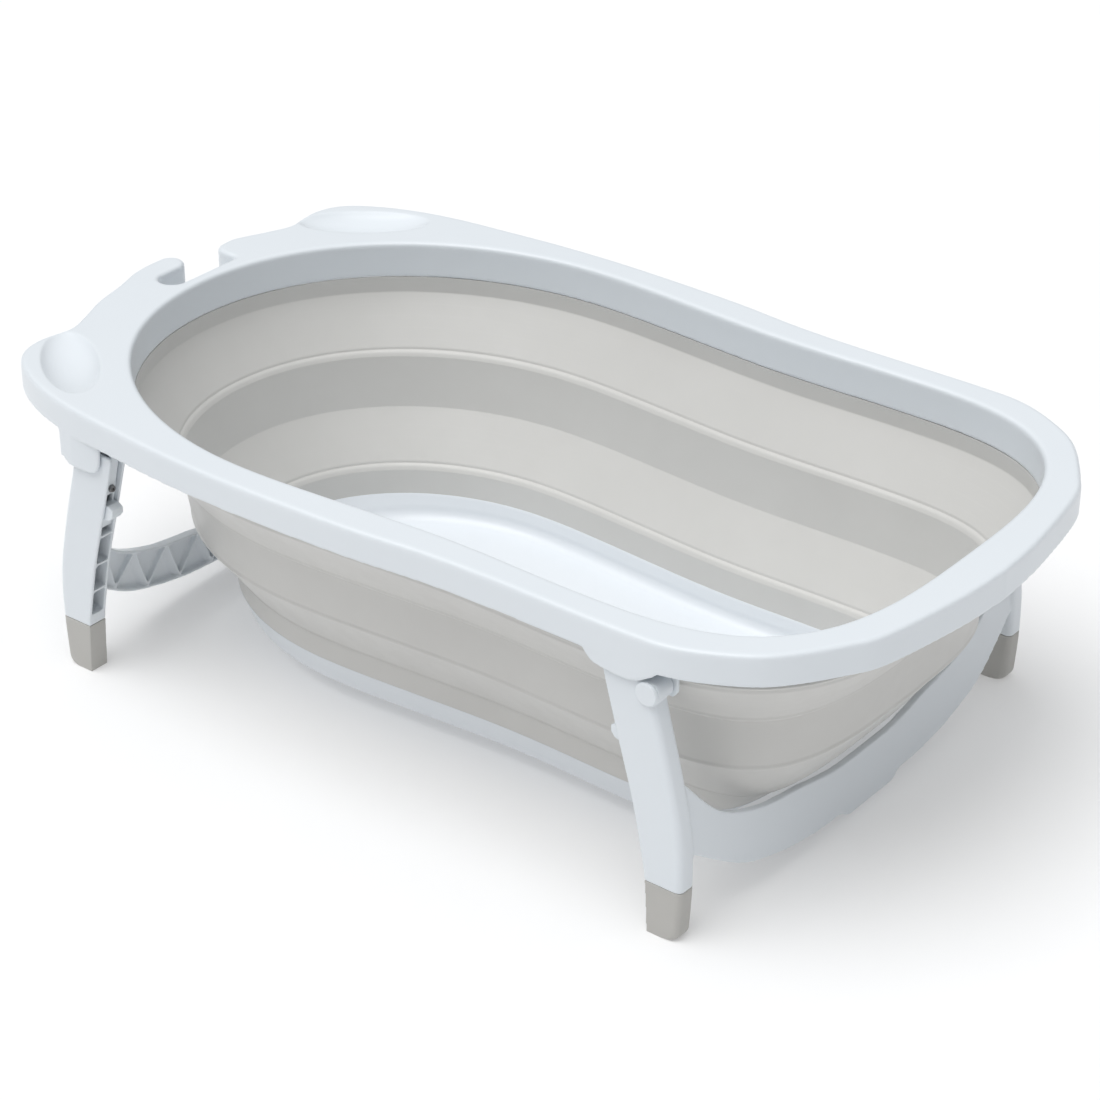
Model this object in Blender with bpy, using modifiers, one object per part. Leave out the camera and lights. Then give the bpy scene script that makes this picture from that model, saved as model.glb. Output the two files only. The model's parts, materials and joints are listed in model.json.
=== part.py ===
"""Folding baby bathtub: a rigid rim on two fold-away leg frames, and a basin that collapses into the rim.

Metres, +Z up. The origin is on the floor under the middle. +X is the foot end and -X the head end,
where the rim widens into a panel with two soap dishes and a hanging hook. Run it in Blender 4.5.
"""

import math

import bmesh
import bpy
from mathutils import Matrix, Vector

# ---- driving dimensions --------------------------------------------------------------------------

RIM_TOP = 0.237
RIM_PLATE = 0.0028
RIM_WALL = 0.0025
RIM_WALL_LOW = 0.206
SKIRT_LOW = 0.2125
STATIONS = 72

# The basin's mouth is egg shaped: an oval head end and a squarer foot end joined by nearly straight sides.
HEAD_CENTRE, HEAD_LENGTH, HEAD_WIDTH, HEAD_POWER = -0.10, 0.251, 0.2145, 2.05
FOOT_CENTRE, FOOT_LENGTH, FOOT_WIDTH, FOOT_POWER = 0.19, 0.186, 0.2055, 3.2
SIDE_BLEND_END = 0.07
WAIST_START, WAIST_DEPTH = 0.01, 0.002

# The basin wall from the rim down: (distance in from the mouth, height) at the top and bottom of each ring.
GAP = 0.0003
TOP_BAND = ((0.0, RIM_WALL_LOW - GAP), (0.0, 0.1925))
MIDDLE_BAND = ((0.034, 0.1485), (0.041, 0.1050))
BOTTOM_BAND = ((0.0725, 0.0607), (0.0745, 0.0393))
SOFT_WALL = 0.002
TRAY_WALL = 0.003
TRAY_FLOOR = 0.0188
FOOT_SLOPE, HEAD_SLOPE = 1.0, 0.7

DRAIN_X = 0.20
DRAIN_RADIUS = 0.0163

# The leg frames. Shapes are given for the foot end, and the head frame is their mirror image.
PIVOT_X, PIVOT_Z = 0.272, 0.194
LEG_TOP = 0.2030
LEG_LOW = 0.0423
LEG_THICK = 0.0174
LEG_OUTER_Y = {"foot": 0.2262, "head": 0.2240}
LEG_SKIN = 0.0026
LEG_INNER_EDGE = ((0.2330, LEG_TOP), (0.2475, 0.150), (0.260, 0.105), (0.2675, 0.070), (0.2722, LEG_LOW))
LEG_OUTER_EDGE = ((0.3030, LEG_LOW), (0.3015, 0.085), (0.2915, 0.133), (0.2790, 0.180), (0.2735, LEG_TOP))
RIB_HEIGHTS = (0.0500, 0.0735, 0.0990, 0.1265)
RIB_THICK = 0.0022
CAP_FOOT = ((0.2745, 0.0), (0.3005, 0.0))
KNUCKLE_RADIUS = 0.0092
PIN_RADIUS = 0.0036

# The crossbar: heights of its top and bottom edges at distances from the middle, and its flange depth.
BAR_TOP = ((0.0, 0.0480), (0.040, 0.0490), (0.083, 0.0560), (0.130, 0.0640), (0.174, 0.0830), (0.2085, 0.1200))
BAR_LOW = ((0.0, 0.0130), (0.040, 0.0130), (0.080, 0.0150), (0.120, 0.0220), (0.160, 0.0350), (0.2085, 0.0660))
BAR_FACE_X, BAR_LEAN = 0.3115, 0.185
BAR_FLANGE = {"foot": 0.0055, "head": 0.0085}
BAR_SKIN = 0.0024
BAR_STEPS = 28
GRIP_HALF, GRIP_DROP, GRIP_RAMP = 0.026, 0.0055, 0.016

SCREW_HEIGHT = 0.1725
LEVER_PIVOT_Z = 0.138

COLLECTION_NAME = "baby_bathtub"
CUTTER_NAME = "cutters"


# ---- scene and material helpers --------------------------------------------------------------------

def clear_scene():
    for old in list(bpy.data.objects):
        bpy.data.objects.remove(old, do_unlink=True)


def new_collection(name):
    made = bpy.data.collections.new(name)
    bpy.context.scene.collection.children.link(made)
    return made


def material(name, colour, roughness, metallic=0.0):
    made = bpy.data.materials.new(name)
    made.use_nodes = True
    shader = made.node_tree.nodes["Principled BSDF"]
    shader.inputs["Base Color"].default_value = (*colour, 1.0)
    shader.inputs["Roughness"].default_value = roughness
    shader.inputs["Metallic"].default_value = metallic
    made.diffuse_color = (*colour, 1.0)
    return made


clear_scene()
PARTS = new_collection(COLLECTION_NAME)
CUTTERS = new_collection(CUTTER_NAME)

WHITE = material("white_gloss_plastic", (0.86, 0.89, 0.92), 0.25)
GREY_SOFT = material("grey_soft_rubber", (0.62, 0.61, 0.59), 0.5)
GREY_CAP = material("grey_foot_rubber", (0.45, 0.44, 0.43), 0.6)
STEEL = material("dark_steel", (0.25, 0.25, 0.26), 0.35, 1.0)
CLEAR_GREY = material("seal_rubber", (0.30, 0.31, 0.32), 0.7)


# ---- outline mathematics -------------------------------------------------------------------------

def smoothstep(value):
    value = min(max(value, 0.0), 1.0)
    return value * value * (3.0 - 2.0 * value)


def spline(points, steps):
    """A smooth line through the points, with this many steps between each pair."""
    padded = [points[0], *points, points[-1]]
    line = []
    for before, start, end, after in zip(padded, padded[1:], padded[2:], padded[3:]):
        for step in range(steps):
            t = step / steps
            line.append(tuple(
                0.5 * (2 * p1 + (p2 - p0) * t + (2 * p0 - 5 * p1 + 4 * p2 - p3) * t * t
                       + (3 * p1 - p0 - 3 * p2 + p3) * t ** 3)
                for p0, p1, p2, p3 in zip(before, start, end, after)
            ))
    line.append(tuple(points[-1]))
    return line


def height_at(table, across):
    """The value of a smooth table of (distance, height) at a distance from the middle."""
    line = spline(table, 8)
    across = min(abs(across), line[-1][0])
    for (a, low), (b, high) in zip(line, line[1:]):
        if across <= b:
            return low + (high - low) * (across - a) / max(b - a, 1e-9)
    return line[-1][1]


def arc(centre, radius, start, end, steps):
    """Points on a circle, with the angles in degrees."""
    angles = [math.radians(start + (end - start) * i / steps) for i in range(steps + 1)]
    return [(centre[0] + radius * math.cos(a), centre[1] + radius * math.sin(a)) for a in angles]


def oval_quarter(centre, length, width, power, steps):
    """From the tip of one end, at y = 0, to the widest place, at x = centre."""
    points = []
    for i in range(steps):
        angle = 0.5 * math.pi * i / steps
        points.append((centre + length * math.cos(angle) ** (2 / power), width * math.sin(angle) ** (2 / power)))
    return points


def side_width(x):
    share = smoothstep((x - HEAD_CENTRE) / (SIDE_BLEND_END - HEAD_CENTRE))
    waist = math.sin(math.pi * (x - WAIST_START) / (FOOT_CENTRE - WAIST_START)) if x > WAIST_START else 0.0
    return HEAD_WIDTH + (FOOT_WIDTH - HEAD_WIDTH) * share - WAIST_DEPTH * waist * waist


def mouth_outline():
    """The rim's inner edge, anticlockwise from the foot tip."""
    quarter = STATIONS // 6
    sides = STATIONS // 2 - 2 * quarter
    half = oval_quarter(FOOT_CENTRE, FOOT_LENGTH, FOOT_WIDTH, FOOT_POWER, quarter)
    for i in range(sides + 1):
        x = FOOT_CENTRE + (HEAD_CENTRE - FOOT_CENTRE) * i / sides
        half.append((x, side_width(x)))
    half += reversed(oval_quarter(HEAD_CENTRE, -HEAD_LENGTH, HEAD_WIDTH, HEAD_POWER, quarter)[1:])
    half.append((HEAD_CENTRE - HEAD_LENGTH, 0.0))
    return half + [(x, -y) for x, y in reversed(half[1:-1])]


def moved_in(points, distance):
    """The closed anticlockwise outline moved inwards along its normals."""
    count = len(points)
    moved = []
    for i, (x, y) in enumerate(points):
        ahead = points[(i + 1) % count]
        behind = points[i - 1]
        along = Vector((ahead[0] - behind[0], ahead[1] - behind[1])).normalized()
        moved.append((x - along.y * distance, y + along.x * distance))
    return moved


MOUTH = mouth_outline()


def basin_ring(distance, height):
    """One level of the basin. Low down its two ends slope in, which leaves the crossbars their path."""
    foot_pull = max(0.0, 0.002 + FOOT_SLOPE * (BOTTOM_BAND[0][1] - height)) if height < 0.061 else 0.0
    head_pull = max(0.0, HEAD_SLOPE * (BOTTOM_BAND[1][1] - height))
    ring = moved_in(MOUTH, distance)
    foot_tip = max(x for x, _ in ring)
    head_tip = min(x for x, _ in ring)
    level = []
    for x, y in ring:
        toward_foot = max(0.0, (x - 0.05) / (foot_tip - 0.05)) ** 1.5
        toward_head = max(0.0, (x + 0.05) / (head_tip + 0.05)) ** 1.5
        level.append(Vector((x - foot_pull * toward_foot + head_pull * toward_head, y, height)))
    return level


# ---- mesh helpers ----------------------------------------------------------------------------------

PLANES = {
    "XY": Matrix.Identity(3),
    "XZ": Matrix(((1, 0, 0), (0, 0, -1), (0, 1, 0))),
}


def finish(obj, surface, smooth_angle=40):
    obj.data.materials.clear()
    obj.data.materials.append(surface)
    obj.data.shade_smooth()
    obj.data.set_sharp_from_angle(angle=math.radians(smooth_angle))
    return obj


def prism(name, outlines, low, high, plane="XY", bevel=0.0):
    """A flat outline given thickness. Its second and later outlines are holes."""
    curve = bpy.data.curves.new(name, "CURVE")
    curve.dimensions = "2D"
    curve.fill_mode = "BOTH"
    curve.extrude = (high - low) / 2 - bevel
    curve.bevel_depth = bevel
    curve.offset = -bevel
    curve.bevel_resolution = 1
    for outline in outlines:
        poly = curve.splines.new("POLY")
        poly.points.add(len(outline) - 1)
        for point, (u, v) in zip(poly.points, outline):
            point.co = (u, v, 0.0, 1.0)
        poly.use_cyclic_u = True
    drawn = bpy.data.objects.new(name, curve)
    PARTS.objects.link(drawn)
    middle = (low + high) / 2
    place = (0, middle, 0) if plane == "XZ" else (0, 0, middle)
    drawn.matrix_world = Matrix.Translation(place) @ PLANES[plane].to_4x4()
    return solid_from(drawn, name)


def solid_from(drawn, name):
    """The object made a welded mesh with its place kept in the mesh, and the original removed."""
    bpy.context.view_layer.update()
    graph = bpy.context.evaluated_depsgraph_get()
    mesh = bpy.data.meshes.new_from_object(drawn.evaluated_get(graph))
    mesh.transform(drawn.matrix_world)
    bpy.data.objects.remove(drawn)
    cage = bmesh.new()
    cage.from_mesh(mesh)
    bmesh.ops.remove_doubles(cage, verts=cage.verts, dist=1e-6)
    bmesh.ops.recalc_face_normals(cage, faces=cage.faces)
    cage.to_mesh(mesh)
    cage.free()
    made = bpy.data.objects.new(name, mesh)
    PARTS.objects.link(made)
    made.name = name
    return made


def cylinder(name, centre, radius, length, axis, segments=32, tip=None):
    """A cylinder, or a cone where tip gives its far radius, centred on a point and along an axis."""
    cage = bmesh.new()
    turn = Vector((0, 0, 1)).rotation_difference(Vector(axis)).to_matrix().to_4x4()
    bmesh.ops.create_cone(
        cage, cap_ends=True, segments=segments, radius1=radius, radius2=radius if tip is None else tip,
        depth=length, matrix=Matrix.Translation(centre) @ turn,
    )
    mesh = bpy.data.meshes.new(name)
    cage.to_mesh(mesh)
    cage.free()
    made = bpy.data.objects.new(name, mesh)
    PARTS.objects.link(made)
    return made


def box(name, low, high):
    cage = bmesh.new()
    bmesh.ops.create_cube(cage, size=1.0)
    middle = (Vector(low) + Vector(high)) / 2
    size = Vector(high) - Vector(low)
    bmesh.ops.scale(cage, vec=size, verts=cage.verts)
    bmesh.ops.translate(cage, vec=middle, verts=cage.verts)
    mesh = bpy.data.meshes.new(name)
    cage.to_mesh(mesh)
    cage.free()
    made = bpy.data.objects.new(name, mesh)
    PARTS.objects.link(made)
    return made


def boolean(target, other, operation):
    """Cuts or joins with an object that then only guides the modifier."""
    PARTS.objects.unlink(other)
    CUTTERS.objects.link(other)
    other.hide_render = True
    other.display_type = "WIRE"
    modifier = target.modifiers.new(operation.lower(), "BOOLEAN")
    modifier.operation = operation
    modifier.solver = "EXACT"
    modifier.object = other


def cut(target, *cutters):
    for cutter in cutters:
        boolean(target, cutter, "DIFFERENCE")


def add(target, *others):
    for other in others:
        boolean(target, other, "UNION")


def turned(name, profile, centre, surface, segments=40, ring=False):
    """A profile of (radius, height) points, top to bottom, turned about a vertical axis.

    The profile of a ring is a closed loop that stays clear of the axis.
    """
    mesh = bpy.data.meshes.new(name)
    edges = [(i, i + 1) for i in range(len(profile) - 1)]
    if ring:
        edges.append((len(profile) - 1, 0))
    mesh.from_pydata([(r, 0.0, z) for r, z in profile], edges, [])
    made = bpy.data.objects.new(name, mesh)
    made.location = centre
    PARTS.objects.link(made)
    modifier = made.modifiers.new("turn", "SCREW")
    modifier.steps = modifier.render_steps = segments
    modifier.use_merge_vertices = True
    modifier.merge_threshold = 0.00001
    modifier.use_smooth_shade = True
    finish(made, surface)
    return made


def shell(name, rings, thickness, surface, closed_below=False):
    """An open lofted wall through rings of points, top to bottom, thickened outwards."""
    cage = bmesh.new()
    rows = [[cage.verts.new(point) for point in ring] for ring in rings]
    count = len(rings[0])
    for upper, lower in zip(rows, rows[1:]):
        for i in range(count):
            j = (i + 1) % count
            cage.faces.new((upper[i], lower[i], lower[j], upper[j]))
    if closed_below:
        cage.faces.new(list(reversed(rows[-1])))
    mesh = bpy.data.meshes.new(name)
    cage.to_mesh(mesh)
    cage.free()
    made = bpy.data.objects.new(name, mesh)
    PARTS.objects.link(made)
    modifier = made.modifiers.new("thickness", "SOLIDIFY")
    modifier.thickness = thickness
    modifier.offset = 1.0
    modifier.use_even_offset = True
    return finish(made, surface)


# ---- rim -------------------------------------------------------------------------------------------

SLOT_BACK, SLOT_FRONT = -0.3860, -0.3625
SLOT_NEAR, MOUTH_WALL = -0.0220, 0.0520


def rim_outline():
    """The rim's outer edge, anticlockwise from the foot tip, with the hook slot let into the head panel."""
    body = [
        (0.410, 0.0), (0.4065, 0.050), (0.394, 0.122), (0.380, 0.152), (0.355, 0.188), (0.330, 0.2085),
        (0.290, 0.2265), (0.245, 0.2303), (0.140, 0.2300), (0.080, 0.2320), (0.010, 0.2385), (-0.090, 0.2415),
        (-0.160, 0.2395), (-0.220, 0.2340), (-0.272, 0.2278), (-0.315, 0.2170), (-0.350, 0.2005),
        (-0.3690, 0.1830), (-0.3755, 0.1600), (-0.3715, 0.1300), (-0.3785, 0.1080), (-0.3905, 0.0800),
    ]
    near_arch = [(-0.3985, 0.0500), (-0.4075, 0.0220), (-0.4100, 0.0)]
    far_side = spline([*body, (-0.3912, 0.0680)], 4)
    slot_middle = (SLOT_BACK + SLOT_FRONT) / 2
    slot_radius = (SLOT_FRONT - SLOT_BACK) / 2
    slot = arc((-0.3772, 0.0660), 0.0140, 180, 270, 6)
    slot += arc((SLOT_FRONT - 0.004, MOUTH_WALL - 0.004), 0.004, 90, 0, 3)
    slot += arc((slot_middle, SLOT_NEAR + slot_radius), slot_radius, 0, -180, 12)
    slot += arc((-0.3979, 0.0100), 0.0119, 0, 180, 10)
    mirrored = [(x, -y) for x, y in reversed([*body, *near_arch])]
    return far_side[:-1] + slot + spline(mirrored, 4)[1:-1]


def place_dish(side):
    """Centre and angle of a soap dish. It lies along the panel's edge."""
    return Vector((-0.3270, side * 0.1720, 0.0)), math.radians(-side * 38)


def dish_cutter(side):
    """A shallow oval bowl, sunk into the panel from above."""
    centre, angle = place_dish(side)
    cage = bmesh.new()
    bmesh.ops.create_uvsphere(cage, u_segments=28, v_segments=14, radius=1.0)
    bmesh.ops.scale(cage, vec=(0.062, 0.0255, 0.0150), verts=cage.verts)
    mesh = bpy.data.meshes.new("dish_cutter")
    cage.to_mesh(mesh)
    cage.free()
    mesh.transform(Matrix.Translation(centre + Vector((0, 0, RIM_TOP + 0.0065))) @ Matrix.Rotation(-angle, 4, "Z"))
    made = bpy.data.objects.new("dish_cutter", mesh)
    PARTS.objects.link(made)
    return made


def dish_floor(side):
    """The pad under a dish, which keeps its floor closed."""
    centre, angle = place_dish(side)
    oval = []
    for i in range(28):
        turn = 2 * math.pi * i / 28
        point = Vector((0.058 * math.cos(turn), 0.0225 * math.sin(turn), 0))
        point.rotate(Matrix.Rotation(-angle, 3, "Z"))
        oval.append(((point + centre).x, (point + centre).y))
    return prism("dish_floor", [oval], RIM_TOP - 0.0125, RIM_TOP - 0.001)


def hinge_cheeks(rim):
    """The plates that hang from the rim on each side of every leg top and carry its pin."""
    tongue = spline(
        [(0.2160, 0.2150), (0.2250, 0.2058), (0.2350, 0.2022), (0.2600, 0.2010), (0.2760, 0.2085),
         (0.2860, 0.2150)], 3)
    tongue += [(0.2860, 0.2200), (0.2160, 0.2200)]
    cheek = spline(
        [(-0.2880, 0.2160), (-0.2872, 0.1960), (-0.2800, 0.1868), (-0.2620, 0.1855), (-0.2490, 0.1880),
         (-0.2432, 0.1980), (-0.2425, 0.2160)], 3)
    for side in (-1, 1):
        def span(low, high):
            return (low, high) if side > 0 else (-high, -low)
        add(rim, prism("foot_tongue", [tongue], *span(0.2272, 0.2300), "XZ"))
        foot_lug = [(0.2600, 0.2355), (0.2600, 0.1900), (0.2640, 0.1850), (0.2800, 0.1850), (0.2840, 0.1900),
                    (0.2840, 0.2355)]
        add(rim, prism("foot_lug", [foot_lug], *span(0.2052, 0.2084), "XZ"))
        add(rim, prism("head_cheek", [cheek], *span(0.2248, 0.2278), "XZ"))
        head_lug = [(-0.2860, 0.2355), (-0.2860, 0.1900), (-0.2820, 0.1850), (-0.2640, 0.1850),
                    (-0.2600, 0.1900), (-0.2600, 0.2355)]
        add(rim, prism("head_lug", [head_lug], *span(0.2030, 0.2060), "XZ"))
        end_wall = span(0.2040, 0.2268)
        add(rim, box("head_end_wall", (-0.2885, end_wall[0], 0.1905), (-0.2860, end_wall[1], 0.2355)))
        for end, inner in (("foot", 0.2000), ("head", 0.1980)):
            x = PIVOT_X if end == "foot" else -PIVOT_X
            middle = side * (inner + 0.2244) / 2
            hole = ("pin_hole", (x, middle, PIVOT_Z), PIN_RADIUS + GAP, 0.2244 - inner, (0, 1, 0), 20)
            cut(rim, cylinder(*hole))


def make_rim():
    outer = rim_outline()
    wall_outer = moved_in(MOUTH, -RIM_WALL)
    skirt_inner = moved_in(outer, RIM_WALL)
    rim = prism("rim", [outer, MOUTH], RIM_WALL_LOW, RIM_TOP)
    far = 0.5
    around = [(-far, -far), (far, -far), (far, far), (-far, far)]
    cut(rim, prism("skirt_trim", [around, wall_outer], RIM_WALL_LOW - 0.02, SKIRT_LOW))
    cut(rim, prism("rim_hollow", [skirt_inner, wall_outer], RIM_WALL_LOW - 0.02, RIM_TOP - RIM_PLATE))
    for side in (-1, 1):
        add(rim, dish_floor(side))
        cut(rim, dish_cutter(side))
    hinge_cheeks(rim)
    return finish(rim, WHITE)


# ---- basin -----------------------------------------------------------------------------------------

def band_rings(top, bottom, steps=1):
    """Rings from one (distance, height) to another."""
    return [
        basin_ring(top[0] + (bottom[0] - top[0]) * i / steps, top[1] + (bottom[1] - top[1]) * i / steps)
        for i in range(steps + 1)
    ]


def make_bellows():
    """One moulded bellows, as the three stiff bands and the two folding webs between them."""
    shell("bellows_top_band", band_rings(*TOP_BAND), SOFT_WALL, GREY_SOFT)
    shell("bellows_middle_band", band_rings(*MIDDLE_BAND), SOFT_WALL, GREY_SOFT)
    shell("bellows_bottom_band", band_rings(*BOTTOM_BAND), SOFT_WALL, GREY_SOFT)
    for name, above, below in (
        ("bellows_upper_web", TOP_BAND, MIDDLE_BAND),
        ("bellows_lower_web", MIDDLE_BAND, BOTTOM_BAND),
    ):
        start = (above[1][0] + GAP, above[1][1] - 2 * GAP)
        end = (below[0][0] - GAP, below[0][1] + 4 * GAP)
        shell(name, band_rings(start, end, 2), SOFT_WALL, GREY_SOFT)


def make_tray():
    wall_top, wall_low, corner, floor = (
        (0.0745, BOTTOM_BAND[1][1] - GAP), (0.0765, 0.0262), (0.0790, 0.0208), (0.0845, TRAY_FLOOR))
    rings = [basin_ring(*level) for level in (wall_top, wall_low, corner, floor)]
    tray = shell("tray", rings, TRAY_WALL, WHITE, closed_below=True)
    cut(tray, cylinder("drain_hole", (DRAIN_X, 0, TRAY_FLOOR), DRAIN_RADIUS, 0.02, (0, 0, 1), 36))


def make_drain():
    """The drain plug lifts out of the tray floor, with a seal ring round its stem."""
    cap_top, cap_low, stem_low = 0.0040, 0.0004, -0.0085
    plug = [(0.0, cap_top), (0.0150, cap_top), (0.0205, cap_top - 0.0012), (0.0215, cap_low), (0.0124, cap_low),
            (0.0124, -0.0050), (0.0142, -0.0056), (0.0136, stem_low), (0.0, stem_low)]
    turned("drain_plug", plug, (DRAIN_X, 0, TRAY_FLOOR), WHITE)
    seal = [(0.0130, 0.0), (0.0152, 0.0), (0.0160, -0.0010), (0.0160, -0.0032), (0.0152, -0.0044),
            (0.0130, -0.0044)]
    turned("drain_seal", seal, (DRAIN_X, 0, TRAY_FLOOR), CLEAR_GREY, ring=True)


# ---- leg frames ------------------------------------------------------------------------------------

def edge_x(edge, height):
    """The x of a leg edge, given for the foot end, at a height."""
    points = sorted(((z, x) for x, z in edge))
    line = spline(points, 4)
    height = min(max(height, line[0][0]), line[-1][0])
    for (a, low), (b, high) in zip(line, line[1:]):
        if height <= b:
            return low + (high - low) * (height - a) / max(b - a, 1e-9)
    return line[-1][1]


def facing(end, points):
    """Outline points for the foot end, or mirrored for the head end."""
    return list(points) if end == "foot" else [(-x, z) for x, z in points]


def leg_pocket(end, low, high):
    """One cell of the channel, open towards the middle of the tub. The last one is open at its top too."""
    wall_top = min(high, LEG_TOP - 0.001)
    heights = [low + (wall_top - low) * share for share in (0.0, 1 / 3, 2 / 3, 1.0)]
    back = [(edge_x(LEG_OUTER_EDGE, z) - LEG_SKIN, z) for z in heights]
    back[-1] = (back[-1][0], high)
    front = [(edge_x(LEG_INNER_EDGE, wall_top) - 0.01, high), (edge_x(LEG_INNER_EDGE, low) - 0.01, low)]
    return facing(end, back + front)


def make_leg(end, side, name):
    """One leg: a channel with ribs, a round knuckle at its top, and a spigot inside its foot cap."""
    outer = LEG_OUTER_Y[end]
    inner = outer - LEG_THICK
    mirror = 1 if end == "foot" else -1

    def span(low, high):
        return (low, high) if side > 0 else (-high, -low)

    outline = spline(LEG_INNER_EDGE, 3) + spline(LEG_OUTER_EDGE, 3)
    leg = prism(name, [facing(end, outline)], *span(inner, outer), "XZ")
    middle_y = side * (inner + outer) / 2
    add(leg, prism("spigot", [facing(end, spigot_outline(0.0))], *span(inner + 0.0035, outer - 0.0035), "XZ"))
    for low, high in zip(RIB_HEIGHTS, [*RIB_HEIGHTS[1:], LEG_TOP + 0.01]):
        pocket = leg_pocket(end, low + RIB_THICK, high)
        cut(leg, prism("pocket", [pocket], *span(inner + LEG_SKIN, outer - LEG_SKIN), "XZ"))
    pivot = (mirror * PIVOT_X, middle_y, PIVOT_Z)
    add(leg, cylinder("knuckle", pivot, KNUCKLE_RADIUS, LEG_THICK, (0, 1, 0), 28))
    screw_y = side * (outer - 0.0072)
    boss = (mirror * 0.2642, screw_y, SCREW_HEIGHT)
    add(leg, cylinder("screw_boss", boss, 0.0034, 0.0318, (1, 0, 0), 16))
    cut(leg, cylinder("screw_bore", (mirror * 0.2500, screw_y, SCREW_HEIGHT), 0.0018, 0.0240, (1, 0, 0), 14))
    cut(leg, cylinder("pin_bore", pivot, PIN_RADIUS + GAP, 0.04, (0, 1, 0), 20))
    return leg


def bar_surface(end):
    """The crossbar: a curved channel that dips under the basin and opens towards the middle of the tub."""
    mirror = 1 if end == "foot" else -1
    reach = LEG_OUTER_Y[end] - LEG_THICK + 0.0012
    rows = []
    for i in range(BAR_STEPS + 1):
        y = -reach + 2 * reach * i / BAR_STEPS
        top = height_at(BAR_TOP, y)
        grip = GRIP_DROP * smoothstep((GRIP_HALF + GRIP_RAMP - abs(y)) / GRIP_RAMP)
        low = height_at(BAR_LOW, y) - grip
        heights = [low + (top - low) * share for share in (0.0, 0.33, 0.67, 1.0)]
        skin = [(bar_x(z), z) for z in heights]
        row = [(skin[0][0] - BAR_FLANGE[end], low), *skin, (skin[-1][0] - BAR_FLANGE[end], top)]
        rows.append([Vector((mirror * x, y, z)) for x, z in row])
    return rows


def bar_x(height):
    """The crossbar's outer face leans with the legs."""
    return BAR_FACE_X - BAR_LEAN * (height - BAR_LOW[0][1])


def make_frame(end):
    mirror = 1 if end == "foot" else -1
    frame = make_leg(end, -1, f"{end}_leg_frame")
    other = make_leg(end, 1, "far_leg")
    other = solid_from(other, "far_leg")
    add(frame, other)
    rows = bar_surface(end)
    cage = bmesh.new()
    lines = [[cage.verts.new(point) for point in row] for row in rows]
    for left, right in zip(lines, lines[1:]):
        for i in range(len(left) - 1):
            corners = (left[i], left[i + 1], right[i + 1], right[i])
            cage.faces.new(corners if mirror > 0 else tuple(reversed(corners)))
    bmesh.ops.recalc_face_normals(cage, faces=cage.faces)
    mesh = bpy.data.meshes.new("crossbar")
    cage.to_mesh(mesh)
    cage.free()
    bar = bpy.data.objects.new("crossbar", mesh)
    PARTS.objects.link(bar)
    modifier = bar.modifiers.new("thickness", "SOLIDIFY")
    modifier.thickness = BAR_SKIN
    modifier.offset = -1.0
    modifier.use_even_offset = True
    add(frame, solid_from(bar, "crossbar"))
    return finish(frame, WHITE)


def spigot_outline(clearance):
    """The stub below the leg, or with a clearance the pocket that it fits in."""
    low, high = 0.0120 - clearance, LEG_LOW + 0.0040
    return [(0.2790 - clearance, low), (0.2962 + clearance, low),
            (0.2980 + clearance, high), (0.2775 - clearance, high)]


def make_foot_cap(end, side):
    """A rubber foot over the leg's spigot, flush with the leg above it."""
    outer = LEG_OUTER_Y[end]
    inner = outer - LEG_THICK
    span = (inner, outer) if side > 0 else (-outer, -inner)
    pocket_span = (span[0] + 0.0032, span[1] - 0.0032)
    top = LEG_LOW - GAP
    outline = [CAP_FOOT[0], CAP_FOOT[1], (LEG_OUTER_EDGE[0][0], top), (LEG_INNER_EDGE[-1][0], top)]
    cap = prism(cap_name(end, side), [facing(end, outline)], *span, "XZ")
    bevel = cap.modifiers.new("soft_edges", "BEVEL")
    bevel.width = 0.0012
    bevel.segments = 2
    bevel.limit_method = "ANGLE"
    bevel.angle_limit = math.radians(50)
    cut(cap, prism("cap_pocket", [facing(end, spigot_outline(0.0004))], *pocket_span, "XZ"))
    return finish(cap, GREY_CAP)


def corner(end, side):
    return f"{end}_{'left' if side > 0 else 'right'}"


def cap_name(end, side):
    return f"{corner(end, side)}_foot_cap"


def make_hinge_pin(end, side):
    """The pin that a leg swings on. At the foot end its broad head shows outside the leg."""
    mirror = 1 if end == "foot" else -1
    outer = LEG_OUTER_Y[end]
    if end == "foot":
        inner_end, outer_end, head_at, head_radius = 0.2054, outer + 0.0008, outer + 0.0016, 0.0094
    else:
        inner_end, outer_end, head_at, head_radius = 0.2024, outer + 0.0002, 0.2014, 0.0062
    middle = side * (inner_end + outer_end) / 2
    axis = (0, side, 0)
    pin = cylinder(f"{corner(end, side)}_hinge_pin", (mirror * PIVOT_X, middle, PIVOT_Z), PIN_RADIUS,
                   outer_end - inner_end, axis, 24)
    head = cylinder("pin_head", (mirror * PIVOT_X, side * head_at, PIVOT_Z), head_radius, 0.0024, axis, 32,
                    head_radius - 0.0008 if end == "foot" else head_radius)
    add(pin, head)
    return finish(pin, WHITE)


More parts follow.
